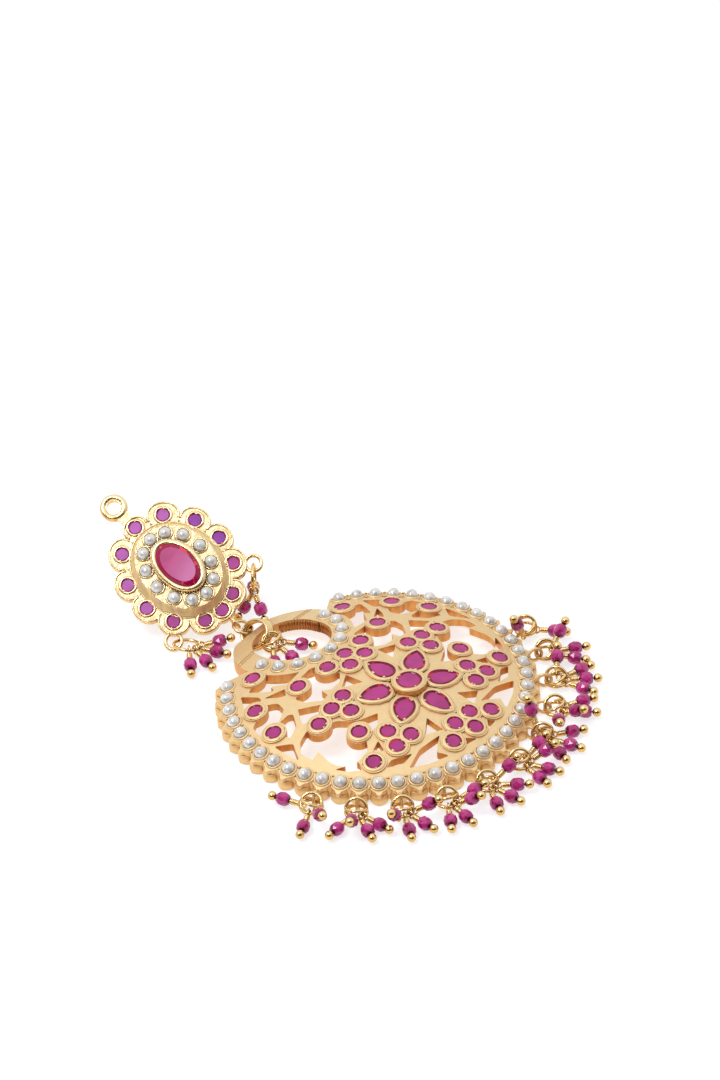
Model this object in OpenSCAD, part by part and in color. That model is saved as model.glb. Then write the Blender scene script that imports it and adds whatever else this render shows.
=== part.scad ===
/* Chandbali earring, lying face up: a domed, pierced crescent plate with a hoop,
   a stud leaning on its post, and drops of beads on jump rings. */

/* [Plate] */
// Radius of the circle that the rim pearls stand on
pearl_circle_r = 26; // [24:0.5:29]
// Thickness of the domed plate at its rim and hoop
plate_t = 2.4; // [2.1:0.1:2.6]
// Thickness of the pierced field inside the rim
field_t = 1.5; // [1.5:0.1:2]
// Height of the dome over the pearl circle
dome_rise = 4.2; // [3:0.1:5]
// Number of pearls along the rim, an odd number
rim_pearl_count = 41; // [37:4:41]
// Angle that the row of rim pearls covers
rim_sweep = 288; // [280:1:290]
// Length of each rim scallop past the pearl circle
scallop_reach = 2.2; // [2:0.05:2.5]

/* [Hoop] */
// Radius of the hoop's own pearl row
hoop_pearl_r = 8.6; // [8.2:0.1:9]
// Width of the hoop's band
hoop_band_w = 4.3; // [4:0.1:4.5]
// Height of the hoop's opening over its width
hoop_opening_stretch = 1.7; // [1.4:0.1:2]
// Width of the plain bar at the hoop's top
bar_w = 1.9; // [1.7:0.05:2.1]
// Thickness of the plain bar at the hoop's top
bar_t = 1.3; // [1.1:0.05:1.4]

/* [Stones and pearls] */
// Diameter of the seed pearls
pearl_d = 2.3; // [2:0.1:2.5]
// Diameter of the round stones in the plate
round_stone_d = 2.8; // [2.4:0.1:3]
// Width of the metal round each round stone
collet_w = 0.75; // [0.6:0.05:0.9]
// Height of the round collets over the dome
collet_rise = 0.3; // [0.2:0.05:0.5]
// Diameter of the flower's middle stone
flower_stone_d = 4.4; // [4:0.1:4.8]
// Height of the flower's middle collet over the dome
flower_collet_rise = 1.1; // [0.8:0.1:1.4]
// Length of each petal stone
petal_stone_l = 5.6; // [5.2:0.1:5.9]
// Width of each petal stone
petal_stone_w = 4.4; // [4:0.1:4.7]
// Gap between a stone or pearl and its seat
seat_gap = 0.13; // [0.12:0.01:0.15]

/* [Stud] */
// Half length of the oval on which the petal stones stand
stud_half_l = 11; // [10:0.1:12]
// Half width of the oval on which the petal stones stand
stud_half_w = 9.1; // [8.6:0.1:9.8]
// Length of each petal, outwards from the middle
petal_l = 4.9; // [4.7:0.1:5.1]
// Width of each petal over its length
petal_stretch = 1.2; // [1.16:0.01:1.24]
// Thickness of the petals
petal_t = 1.3; // [1.2:0.05:1.6]
// Diameter of the stones in the petals
petal_round_d = 2.5; // [2.2:0.1:2.7]
// Height of the stud's raised middle
boss_rise = 2.1; // [1.8:0.1:2.4]
// Height of the oval collet over the raised middle
oval_collet_rise = 0.9; // [0.6:0.1:1.2]
// Length of the oval stone
oval_stone_l = 9.8; // [9.2:0.1:10.2]
// Width of the oval stone
oval_stone_w = 6.2; // [5.8:0.1:6.6]
// Depth of the closed cup behind the petals
cup_depth = 2.6; // [2.2:0.1:3]
// Rise of the stud towards its hook end
stud_pitch = 24; // [20:1:27]
// Lean of the stud towards its left side
stud_lean = 27; // [23:1:30]
// Turn of the stud on the table
stud_yaw = -2; // [-5:1:5]
// Diameter of the ear post's plain end
post_d = 0.9; // [0.8:0.05:1]
// Diameter of the ear post's threaded root
thread_d = 1.3; // [1.25:0.05:1.4]
// Diameter of the nut on the post
nut_d = 4.4; // [3.8:0.1:5]
// Length of the nut
nut_l = 2.4; // [2:0.1:2.8]
// Hole of the support ring at the hook end
support_hole_d = 2.6; // [2.3:0.1:2.8]
// Thickness of the support ring's metal
support_ring_w = 1.1; // [1:0.05:1.3]

/* [Drops] */
// Length of each faceted bead
bead_l = 2.3; // [2:0.05:2.4]
// Diameter of each faceted bead
bead_d = 2.4; // [2.2:0.05:2.45]
// Diameter of the ball that ends each head pin
ball_d = 1.6; // [1.3:0.05:1.7]
// Diameter of the head pins' wire
pin_wire_d = 0.38; // [0.34:0.01:0.4]
// Length of the wrapped neck of each pin
wrap_l = 1.25; // [1:0.05:1.3]
// Outer diameter of the jump rings
jump_ring_d = 4.2; // [4.1:0.05:4.4]
// Diameter of the jump rings' wire
jump_wire_d = 0.6; // [0.5:0.02:0.62]
// Outer diameter of the loops that are soldered on
solder_loop_d = 3; // [2.95:0.05:3.1]
// Diameter of the soldered loops' wire
solder_wire_d = 0.6; // [0.5:0.02:0.62]

/* [Hidden] */

gold = "#E3B45C";
ruby = "#A51E5A";
pearl = "#F1EDE6";
round_fn = 48;
wire_fn = 40;
stone_fn = 8;
bead_fn = 10;
arc_step = 30;
eps = 0.02;
cut_past = 1;
R = pearl_circle_r;

// Dome: a spherical cap whose pearl circle lies at height 0
dome_r = (R * R + dome_rise * dome_rise) / (2 * dome_rise);
function dome_z(r) = sqrt(dome_r * dome_r - r * r) - dome_r + dome_rise;
plate_reach = R + scallop_reach;
floor_z = dome_z(plate_reach) - plate_t;
plate_h = -floor_z;

// Rim, from the foot of the crescent round to both ends
rim_root_r = R * 1.04;
scallop_r = R * 0.066;
scallop_tip_w = R * 0.01;
pearl_step = rim_sweep / (rim_pearl_count - 1);
rim_turns = [for (i = [0:rim_pearl_count - 1]) -rim_sweep / 2 + i * pearl_step];

// Hoop, whose pearl row ends level with its middle
hoop_y = R * 0.718;
hoop_outer_r = hoop_pearl_r + hoop_band_w / 2;
hoop_inner_r = hoop_pearl_r - hoop_band_w / 2;
hoop_pearl_count = 9;
opening_drop = 0.45;
opening_y = hoop_y - opening_drop;
opening_top_y = opening_y + hoop_opening_stretch + hoop_inner_r;
hoop_top_y = opening_top_y + bar_w;
bar_mid_y = opening_top_y + bar_w / 2;
bar_top_h = plate_h + dome_z(hoop_top_y);
bar_under_l = 3.6;

// Flower: six petals, each with three small stones past its tip
flower_y = -R * 0.285;
petal_past_flower = 1.3;
petal_place_r = flower_stone_d / 2 + petal_stone_l / 2 + petal_past_flower;
tip_outer_r = R * 0.55;
tip_inner_r = R * 0.448;
tip_spread = 9.8;
collet_r = round_stone_d / 2 + seat_gap + collet_w;
petal_points = 12;
pear_point = 0.6;
collet_ledge = 0.06;
pearl_lift = 0.1;
seat_depth = pearl_d / 2 + seat_gap - pearl_lift;
field_reach = R * 0.93;
hoop_skirt = 0.45;

// Single stones of the vines on the right half: across and up, as shares of R
VINE_STONES = [[0.535, -0.29], [0.667, -0.518], [0.625, -0.023], [0.82, 0.207], [0.72, 0.45],
  [0.472, 0.68], [0.418, 0.325], [0.175, 0.272], [0.2, -0.81]];

// Openings of the pierced field on the right half, each walked round its edge.
// Columns: across, up and corner radius, all as shares of R
OPENINGS = [
  ["side scroll", [[0.33, -0.285, 0.006], [0.47, -0.215, 0.1], [0.55, -0.08, 0.05],
    [0.66, -0.1, 0.02], [0.7, 0.02, 0.02], [0.8, 0, 0.06], [0.875, -0.07, 0.04],
    [0.872, -0.165, 0.008], [0.8, -0.155, 0.004],
    [0.835, -0.3, 0.12], [0.78, -0.42, 0.12], [0.62, -0.435, 0.1], [0.56, -0.37, 0.01],
    [0.5, -0.35, 0.01], [0.42, -0.35, 0.008]]],
  ["rim slit", [[0.905, 0.14, 0.008], [0.83, 0.035, 0.02], [0.87, -0.02, 0.02], [0.918, -0.09, 0.006],
    [0.92, 0.03, 0.05]]],
  ["leaf gap", [[0.80, 0.08, 0.008], [0.70, 0.11, 0.03], [0.63, 0.20, 0.02], [0.655, 0.222, 0.01],
    [0.745, 0.235, 0.004], [0.625, 0.282, 0.02], [0.595, 0.36, 0.04], [0.65, 0.43, 0.01],
    [0.84, 0.375, 0.02], [0.872, 0.29, 0.03], [0.82, 0.2, 0.01]]],
  ["shoulder gap", [[0.742, 0.525, 0.006], [0.64, 0.65, 0.006], [0.595, 0.50, 0.04], [0.67, 0.46, 0.01]]],
  ["hoop gap", [[0.59, 0.62, 0.01], [0.55, 0.52, 0.04], [0.51, 0.45, 0.012], [0.49, 0.51, 0.003],
    [0.42, 0.415, 0.03], [0.28, 0.425, 0.006], [0.35, 0.66, 0.01], [0.47, 0.66, 0.01]]],
  ["vine slit", [[0.598, 0.48, 0.004], [0.56, 0.40, 0.03], [0.52, 0.35, 0.01], [0.468, 0.402, 0.006]]],
  ["inner gap", [[0.205, 0.378, 0.01], [0.38, 0.378, 0.01], [0.43, 0.30, 0.01], [0.52, 0.27, 0.02],
    [0.51, 0.185, 0.04], [0.44, 0.095, 0.02], [0.38, 0.10, 0.012], [0.372, 0.167, 0.003],
    [0.33, 0.113, 0.03], [0.24, 0.113, 0.04], [0.17, 0.17, 0.02], [0.18, 0.27, 0.01]]],
  ["kite", [[0.455, 0.06, 0.006], [0.585, 0.195, 0.006], [0.675, 0.08, 0.008], [0.60, 0.04, 0.04],
    [0.54, 0.032, 0.02]]],
  ["scroll eye", [[0.515, -0.432, 0.004], [0.603, -0.455, 0.004], [0.553, -0.518, 0.01]]],
  ["lower rim slit", [[0.855, -0.335, 0.004], [0.79, -0.385, 0.05], [0.715, -0.43, 0.02],
    [0.758, -0.49, 0.008], [0.818, -0.42, 0.08]]],
  ["lower lens", [[0.65, -0.606, 0.004], [0.585, -0.594, 0.04], [0.452, -0.672, 0.004],
    [0.56, -0.676, 0.05]]],
  ["foot gap", [[0.215, -0.712, 0.004], [0.40, -0.685, 0.1], [0.558, -0.724, 0.006], [0.45, -0.80, 0.1],
    [0.30, -0.862, 0.008], [0.34, -0.782, 0.004], [0.275, -0.74, 0.02]]],
  ["lower triangle", [[0.16, -0.558, 0.004], [0.283, -0.64, 0.004], [0.165, -0.70, 0.004]]],
  ["upper triangle", [[0.165, 0.122, 0.004], [0.288, 0.062, 0.004], [0.16, -0.018, 0.004]]],
  ["foot triangle", [[0.123, -0.838, 0.003], [0.15, -0.885, 0.003], [0.062, -0.90, 0.003]]],
  ["hoop eye", [[0.04, 0.325, 0.003], [0.095, 0.313, 0.003], [0.066, 0.268, 0.003]]]];
// Shoulder lines that end the rim beside the hoop, as shares of R
SHOULDER = [[0, 0.5], [0.40, 0.765], [0.655, 0.935], [0.9, 1.4]];

// Stud: turns of the petals round the oval on its right half, and each petal's size as a share
PETALS = [[0, 0.84], [34, 1.04], [67, 1], [96, 0.98], [125, 1], [158, 0.96], [180, 0.86]];
stud_mid_y = 0.7;
oval_wall = 0.8;
oval_mid_y = 0.4;
stud_pearl_count = 12;
pearl_oval_w = oval_stone_w / 2 + oval_wall + pearl_d / 2 + 2 * seat_gap;
pearl_oval_l = oval_stone_l / 2 + oval_wall + pearl_d / 2 + 2 * seat_gap;
bezel_wall = 0.3;
bezel_r = pearl_d / 2 + seat_gap + bezel_wall;
boss_slope = 0.6;
boss_edge = 0.1;
boss_shoulder_share = 0.85;
// Rows of the raised middle, from its foot up: how far past the pearls' oval, and how high
BOSS_ROWS = [[bezel_r, -petal_t / 2], [bezel_r + boss_slope, 0],
  [bezel_r, boss_rise * boss_shoulder_share], [bezel_r - boss_edge, boss_rise]];
web_past_pearls = 3.6;
stud_hole_share = 0.87;
stud_hole_r = 0.55;
cup_inset = 2.1;
function petal_at(turn) = [stud_half_w * sin(turn), stud_mid_y + stud_half_l * cos(turn)];
function petal_out(turn) = atan2(stud_half_l * sin(turn), stud_half_w * cos(turn));

// The loops soldered on the stud, and the support ring at its hook end
loop_major = (solder_loop_d - solder_wire_d) / 2;
side_wire_d = 0.7;
side_loop_major = 1.45;
side_loop_turn = 45;
side_loop_reach = PETALS[4][1] * petal_l / 2 + side_loop_major - side_wire_d / 2;
side_loop_xy = petal_at(PETALS[4][0]) + side_loop_reach * [sin(side_loop_turn), -cos(side_loop_turn)];
foot_petal_end = petal_at(PETALS[6][0])[1] - PETALS[6][1] * petal_l / 2;
foot_loop_at = [0, foot_petal_end - loop_major + solder_wire_d / 3, -petal_t * 0.6];
support_ring_r = support_hole_d / 2 + support_ring_w;
support_neck = 1.1;
support_neck_w = 2.2;
support_y = petal_at(0)[1] + PETALS[0][1] * petal_l / 2 + support_neck + support_ring_r;

// The stud rests on its left side loop, so its tilt gives its height
function leaned(v) = [v[0] * cos(stud_lean) - v[2] * sin(stud_lean), v[1],
  v[0] * sin(stud_lean) + v[2] * cos(stud_lean)];
function pitched(v) = [v[0], v[1] * cos(stud_pitch) - v[2] * sin(stud_pitch),
  v[1] * sin(stud_pitch) + v[2] * cos(stud_pitch)];
function yawed(v) = [v[0] * cos(stud_yaw) - v[1] * sin(stud_yaw),
  v[0] * sin(stud_yaw) + v[1] * cos(stud_yaw), v[2]];
function stud_turned(v) = yawed(pitched(leaned(v)));
stud_flat = cos(stud_lean) * cos(stud_pitch);
stud_steep = sqrt(1 - stud_flat * stud_flat);
side_loop_z = -petal_t * 0.35;
left_loop_at = [-side_loop_xy[0], side_loop_xy[1], side_loop_z];
right_loop_at = [side_loop_xy[0], side_loop_xy[1], side_loop_z];
stud_h = side_loop_major * stud_steep + side_wire_d / 2 + eps - stud_turned(left_loop_at)[2];

// Jump rings and pins
jump_major = (jump_ring_d - jump_wire_d) / 2;
ring_play = 0.33;
pin_play = 0.25;
pin_loop_r = jump_wire_d / 2 + pin_wire_d / 2 + pin_play;
wrap_d = 2.4 * pin_wire_d;
bead_gap = 0.1;
bead_hole_r = pin_wire_d / 2 + 0.14;
bead_start = pin_loop_r + pin_wire_d / 2 + wrap_l + bead_gap;
ball_x = bead_start + bead_l + bead_gap + ball_d / 2;
lie_h = max(bead_d, 2 * pin_loop_r + pin_wire_d) / 2 + eps;
solder_h = solder_loop_d / 2 + eps;
loop_overlap = 0.25;
fringe_ring_out = 0.25;
fringe_loop_r = plate_reach + loop_major - loop_overlap;
fringe_ring_r = fringe_loop_r + fringe_ring_out + jump_major;

// Link: a slanting bail ring round the hoop's bar, and a jump ring from it to the stud's foot loop
bail_wire_d = 0.7;
bail_major = 2.6;
bail_slant = 50;
bail_h = bail_major * cos(bail_slant) + bail_wire_d / 2 + 2 * eps;
bail_y = bar_mid_y - 0.1;
pass_reach = bail_major - bail_wire_d / 2 - jump_wire_d / 2 - ring_play;
link_turn = -8;
link_roll = 10;
link_major = 1.7;
link_slack = 0.1;
link_reach = pass_reach - link_slack;
foot_loop_h = stud_h + stud_turned(foot_loop_at)[2];
link_rise = asin((foot_loop_h - bail_h) / (2 * link_major));
link_end = [2 * link_major * cos(link_rise) * sin(link_turn),
  bail_y + link_reach + 2 * link_major * cos(link_rise) * cos(link_turn), foot_loop_h];
stud_at = [link_end[0] - stud_turned(foot_loop_at)[0], link_end[1] - stud_turned(foot_loop_at)[1], stud_h];

function rest_of(v) = stud_at + stud_turned(v);

// Post, whose tip props the stud up, and the nut on it
cup_back = petal_t + cup_depth;
post_l = (stud_h - eps - post_d / 2 * stud_steep) / stud_flat;
nut_gap = 1.3;
nut_play = 0.12;
thread_past_nut = 0.4;
thread_l = cup_back + nut_gap + nut_l + thread_past_nut;
nut_waist_d = 3;
nut_rim_l = 0.7;

cup_round_r = (pow(stud_half_l - cup_inset, 2) + pow(cup_depth, 2)) / (2 * cup_depth);

// Cut stones: heights of the parts over and under the girdle
stone_girdle = 0.2;
stone_crown = 0.45;
stone_base = 1.0;
stone_seat_depth = stone_base - stone_girdle + seat_gap;
petal_crown = 0.55;
flower_crown = 0.6;
flower_base = 1.8;
oval_crown = 0.8;
oval_seat = 1.6;
oval_fn = 24;
oval_table = 0.7;
table_share = 0.74;
culet_share = 0.3;
girdle_share = 0.15;
stud_stone_seat = 0.9;

// Faceted beads
bead_end_r = bead_d * 0.36;
bead_belt = bead_l * 0.3;

// The middle of the whole thing's footprint lies at the origin
rest_x = 1.5;
rest_y = -11.65;

// How the drops lie. Columns of a drop: its scallop counted from the foot, then its pins.
// Columns of a pin: turn round the jump ring, rise over the floor, and extra length of neck
FRINGE = [
  [-10, [[-92, 4, 0], [6, 0, 0], [40, 34, 0]]],
  [-8, [[-32, 0, 0], [-2, 36, 0], [28, 0, 0], [56, 0, 0]]],
  [-6, [[-26, 46, 0], [4, 0, 0], [38, 0, 0], [72, 34, 0]]],
  [-4, [[-17, 0, 0], [14, 0, 0], [44, 34, 0], [76, 30, 0]]],
  [-2, [[-20, 0, 0], [14, 0, 0], [46, 6, 0], [92, 26, 0]]],
  [0, [[-12, 0, 0], [18, 0, 0], [48, 36, 0], [86, 20, 0]]],
  [2, [[-34, 0, 0], [-2, 0, 0], [38, 0, 0], [140, 70, 0.9, 20]]],
  [4, [[-74, 26, 0], [-30, 34, 0], [0, 0, 0], [32, 0, 0]]],
  [6, [[-32, 0, 0], [-2, 0, 0], [28, 0, 0], [82, 24, 0]]],
  [8, [[-36, 0, 0], [-6, 0, 0], [38, 30, 0]]],
  [10, [[-42, 0, 0], [228, 62, 0.9, -26]]]];
HOOP_DROP_PINS = [[-46, -8, 0], [-8, -8, 0], [36, -8, 0]];
LEFT_DROP_PINS = [[-58, -25, 0], [-29, -14, 0], [-2, 3, 0], [28, 19, 0]];
RIGHT_DROP_PINS = [[-70, 32, 0, 20], [-46, -20, 0, -6], [-108, 10, 0, -30]];
hoop_drop_x = 0;

// The drops of the stud: the left one lies, the right one hangs from the lowest point of its loop
side_ring_major = 2.4;
left_drop_turn = 15;
left_drop_roll = 18;
left_ring_shift = [0.6, -2.7, 0.04];
left_ring_at = rest_of(left_loop_at) + left_ring_shift;
stud_out = stud_turned([0, 0, 1]);
right_low = rest_of(right_loop_at) + side_loop_major
  * [stud_out[0] * stud_flat / stud_steep, stud_out[1] * stud_flat / stud_steep, -stud_steep];
right_drop_turn = atan2(stud_out[1], stud_out[0]);
right_ring_h = right_low[2] + side_wire_d / 2 + jump_wire_d / 2 + ring_play - side_ring_major;

// Outlines
function unit(v) = v / norm(v);
function corner_arc(a, b, c, r) =
  let (u = unit(a - b), v = unit(c - b), half = acos(u * v) / 2,
    reach = min(r / tan(half), 0.45 * norm(a - b), 0.45 * norm(c - b)),
    mid = b + unit(u + v) * reach / cos(half),
    from = b + u * reach - mid, to = b + v * reach - mid,
    start = atan2(from[1], from[0]), turn = atan2(from[0] * to[1] - from[1] * to[0], from * to),
    steps = ceil(abs(turn) * sqrt(norm(from)) / arc_step))
  [for (i = [0:steps]) let (a = start + turn * i / steps) mid + norm(from) * [cos(a), sin(a)]];
function rounded_outline(rows) = [for (i = [0:len(rows) - 1])
  let (n = len(rows), a = rows[(i + n - 1) % n], b = rows[i], c = rows[(i + 1) % n])
  each corner_arc([a[0], a[1]] * R, [b[0], b[1]] * R, [c[0], c[1]] * R, b[2] * R)];
function oval_points(w, l, n) = [for (i = [0:n - 1]) [w * cos(i * 360 / n), l * sin(i * 360 / n)]];
function pear_points(w, l, n) = [for (i = [0:n - 1])
  let (t = -i * 360 / n) [w / 2 * sin(t) * pow(abs(sin(t / 2)), pear_point), l / 2 * cos(t)]];
function layer(points, share, h) = [for (p = points) [p[0] * share, p[1] * share, h]];

// A closed solid through layers of equally many points
module loft(layers) {
  n = len(layers[0]);
  m = len(layers);
  points = [for (part_layer = layers) each part_layer];
  sides = [for (k = [0:m - 2], i = [0:n - 1])
    [k * n + i, (k + 1) * n + i, (k + 1) * n + (i + 1) % n, k * n + (i + 1) % n]];
  polyhedron(points, concat([[for (i = [0:n - 1]) i]], [[for (i = [0:n - 1]) m * n - 1 - i]], sides));
}

// A cut stone on an outline, its girdle at height 0
module cut_stone(points, crown, base, table = table_share) {
  loft([layer(points, culet_share, -base), layer(points, 1, -girdle_share * crown),
    layer(points, 1, girdle_share * crown), layer(points, table, crown)]);
}

module wire_ring(major, wire_d) {
  rotate_extrude($fn = round_fn) translate([major, 0]) circle(d = wire_d, $fn = wire_fn);
}

// Places
module on_table() {
  translate([rest_x, rest_y, 0]) children();
}
module on_plate() {
  on_table() translate([0, 0, plate_h]) children();
}
module on_dome(at) {
  turn = atan2(at[1], at[0]);
  translate([0, 0, dome_rise - dome_r])
    rotate([0, 0, turn]) rotate([0, asin(norm(at) / dome_r), 0]) rotate([0, 0, -turn])
      translate([0, 0, dome_r]) children();
}
module on_stud() {
  on_table() translate(stud_at)
    rotate([0, 0, stud_yaw]) rotate([stud_pitch, 0, 0]) rotate([0, -stud_lean, 0]) children();
}

// Where the plate's stones and pearls stand
function petal_xy(i) = [petal_place_r * sin(60 * i), flower_y + petal_place_r * cos(60 * i)];
TIP_STONES = [for (i = [0:5], k = [-1, 0, 1])
  let (r = k == 0 ? tip_outer_r : tip_inner_r, a = 60 * i + k * tip_spread)
  [r * sin(a), flower_y + r * cos(a)]];
VINES = [for (side = [-1, 1], p = VINE_STONES) [side * p[0] * R, p[1] * R]];
RIM_PEARLS = [for (a = rim_turns) [R * sin(a), -R * cos(a)]];
HOOP_PEARLS = [for (i = [0:hoop_pearl_count - 1])
  let (a = 180 * i / (hoop_pearl_count - 1)) [hoop_pearl_r * cos(a), hoop_y - hoop_pearl_r * sin(a)]];

// Plate
module scallop() {
  translate([0, -R]) circle(scallop_r, $fn = round_fn);
  polygon([[-scallop_r, -R], [-scallop_tip_w, -plate_reach],
    [scallop_tip_w, -plate_reach], [scallop_r, -R]]);
}
module rim_outline() {
  difference() {
    union() {
      circle(rim_root_r, $fn = 4 * round_fn);
      for (a = rim_turns) rotate(a) scallop();
    }
    polygon([for (i = [0:3]) SHOULDER[i] * R, [-SHOULDER[3][0], SHOULDER[3][1]] * R,
      [-SHOULDER[2][0], SHOULDER[2][1]] * R, [-SHOULDER[1][0], SHOULDER[1][1]] * R]);
  }
}
module hoop_outline() {
  intersection() {
    translate([0, hoop_y]) circle(hoop_outer_r, $fn = 2 * round_fn);
    translate([-hoop_outer_r, 0]) square([2 * hoop_outer_r, hoop_top_y]);
  }
}
module hoop_opening() {
  translate([0, opening_y]) circle(hoop_inner_r, $fn = 2 * round_fn);
  translate([0, opening_y + hoop_opening_stretch]) circle(hoop_inner_r, $fn = 2 * round_fn);
  translate([-hoop_inner_r, opening_y]) square([2 * hoop_inner_r, hoop_opening_stretch]);
}
module petal_outline(grow) {
  offset(delta = grow) polygon(pear_points(petal_stone_w, petal_stone_l, petal_points));
}
module collet_outlines(inset) {
  for (p = concat(VINES, TIP_STONES)) translate(p) circle(collet_r - inset, $fn = round_fn);
  for (i = [0:5]) translate(petal_xy(i)) rotate(-60 * i) petal_outline(collet_w + seat_gap - inset);
}
module stone_seats() {
  for (p = concat(VINES, TIP_STONES)) translate(p) circle(d = round_stone_d + 2 * seat_gap, $fn = round_fn);
  for (i = [0:5]) translate(petal_xy(i)) rotate(-60 * i) petal_outline(seat_gap);
  translate([0, flower_y]) circle(d = flower_stone_d + 2 * seat_gap, $fn = round_fn);
}
module pearl_seats() {
  for (p = concat(RIM_PEARLS, HOOP_PEARLS)) translate(p) circle(d = pearl_d + 2 * seat_gap, $fn = round_fn);
}
module field_zone() {
  difference() {
    circle(field_reach, $fn = 4 * round_fn);
    translate([0, hoop_y]) circle(hoop_outer_r - hoop_skirt, $fn = 2 * round_fn);
  }
}
module field_openings() {
  difference() {
    for (side = [0, 1], hole = OPENINGS) mirror([side, 0]) polygon(rounded_outline(hole[1]));
    collet_outlines(0);
    translate([0, hoop_y]) circle(hoop_outer_r, $fn = 2 * round_fn);
  }
}
module plate_outline() {
  difference() {
    union() {
      rim_outline();
      hoop_outline();
    }
    field_openings();
    hoop_opening();
  }
}
module under_dome(rise) {
  translate([0, 0, dome_rise - dome_r]) sphere(dome_r + rise, $fn = 4 * round_fn);
}
module dome_shell() {
  difference() {
    intersection() {
      translate([0, 0, floor_z]) linear_extrude(dome_rise - floor_z) plate_outline();
      under_dome(0);
    }
    translate([0, 0, dome_rise - dome_r - plate_t]) sphere(dome_r, $fn = 4 * round_fn);
    intersection() {
      translate([0, 0, dome_rise - dome_r - field_t]) sphere(dome_r, $fn = 4 * round_fn);
      translate([0, 0, floor_z - cut_past]) linear_extrude(dome_rise - floor_z) field_zone();
    }
    translate([-bar_under_l, opening_y + hoop_inner_r, floor_z - cut_past])
      cube([2 * bar_under_l, hoop_top_y, bar_top_h - bar_t + cut_past]);
  }
}
module raised_collets() {
  difference() {
    intersection() {
      linear_extrude(dome_rise + collet_rise) collet_outlines(collet_ledge);
      under_dome(collet_rise);
    }
    under_dome(-field_t / 2);
  }
  translate([0, flower_y, dome_z(flower_y) - field_t / 2]) cylinder(field_t / 2 + flower_collet_rise,
    d = flower_stone_d + 2 * (collet_w + seat_gap), $fn = round_fn);
}
module seats_down_to(depth) {
  difference() {
    translate([0, 0, -depth - cut_past]) linear_extrude(dome_rise + 2 * (depth + cut_past)) children();
    under_dome(-depth);
  }
}
module disc_plate() color(gold) on_plate() {
  difference() {
    union() {
      dome_shell();
      raised_collets();
    }
    seats_down_to(seat_depth) pearl_seats();
    seats_down_to(stone_seat_depth) stone_seats();
  }
  for (drop = FRINGE) rotate(drop[0] * pearl_step) translate([0, -fringe_loop_r, solder_h - plate_h])
    rotate([0, 90, 0]) wire_ring(loop_major, solder_wire_d);
}
module pearls_at(places) {
  for (p = places) on_dome(p) translate([0, 0, pearl_lift]) sphere(d = pearl_d, $fn = round_fn);
}
module round_stones_at(places) {
  for (p = places) on_dome(p) translate([0, 0, stone_girdle])
    cut_stone(oval_points(round_stone_d / 2, round_stone_d / 2, stone_fn), stone_crown, stone_base);
}
module rim_pearls() color(pearl) on_plate() pearls_at(RIM_PEARLS);
module hoop_pearls() color(pearl) on_plate() pearls_at(HOOP_PEARLS);
module tip_stones() color(ruby) on_plate() round_stones_at(TIP_STONES);
module vine_stones() color(ruby) on_plate() round_stones_at(VINES);
module flower_stone() color(ruby) on_plate() translate([0, flower_y, dome_z(flower_y) + flower_collet_rise])
  cut_stone(oval_points(flower_stone_d / 2, flower_stone_d / 2, 2 * stone_fn), flower_crown, flower_base);
module petal_stone(i) color(ruby) on_plate() on_dome(petal_xy(i)) rotate(-60 * i)
  translate([0, 0, stone_girdle])
    cut_stone(pear_points(petal_stone_w, petal_stone_l, petal_points), petal_crown, stone_base);

// Stud
module stud_web() {
  for (side = [0, 1], row = PETALS) mirror([side, 0]) translate(petal_at(row[0])) rotate(-petal_out(row[0]))
    polygon(oval_points(row[1] * petal_stretch * petal_l / 2, row[1] * petal_l / 2, round_fn));
  translate([0, stud_mid_y])
    polygon(oval_points(pearl_oval_w + web_past_pearls, pearl_oval_l + web_past_pearls, round_fn));
}
module stud_boss() {
  translate([0, oval_mid_y, 0]) loft([for (row = BOSS_ROWS)
    [for (p = oval_points(pearl_oval_w + row[0], pearl_oval_l + row[0], round_fn)) concat(p, row[1])]]);
  translate([0, oval_mid_y, 0]) linear_extrude(boss_rise + oval_collet_rise)
    offset(r = oval_wall) polygon(oval_points(oval_stone_w / 2, oval_stone_l / 2, round_fn));
}
module stud_cup() {
  intersection() {
    translate([0, stud_mid_y, -petal_t - cup_depth]) linear_extrude(cup_depth + petal_t / 2)
      polygon(oval_points(stud_half_w - cup_inset, stud_half_l - cup_inset, round_fn));
    translate([0, stud_mid_y, cup_round_r - petal_t - cup_depth]) sphere(cup_round_r, $fn = 2 * round_fn);
  }
}
module support_ring() {
  translate([0, 0, -petal_t]) linear_extrude(petal_t) difference() {
    union() {
      translate([0, support_y]) circle(support_ring_r, $fn = round_fn);
      translate([-support_neck_w / 2, petal_at(0)[1]])
        square([support_neck_w, support_y - petal_at(0)[1] - support_hole_d / 2 - support_ring_w / 4]);
    }
    translate([0, support_y]) circle(d = support_hole_d, $fn = round_fn);
  }
}
PETAL_TURNS = [for (row = PETALS) each (row[0] % 180 == 0 ? [row[0]] : [row[0], -row[0]])];
STUD_HOLES = [for (side = [-1, 1], i = [0:len(PETALS) - 3])
  let (turn = side * (PETALS[i][0] + PETALS[i + 1][0]) / 2, p = petal_at(turn))
  [p[0] * stud_hole_share, stud_mid_y + (p[1] - stud_mid_y) * stud_hole_share]];
STUD_PEARLS = [for (i = [0:stud_pearl_count - 1])
  let (a = 360 * i / stud_pearl_count) [pearl_oval_w * sin(a), oval_mid_y + pearl_oval_l * cos(a)]];
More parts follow.
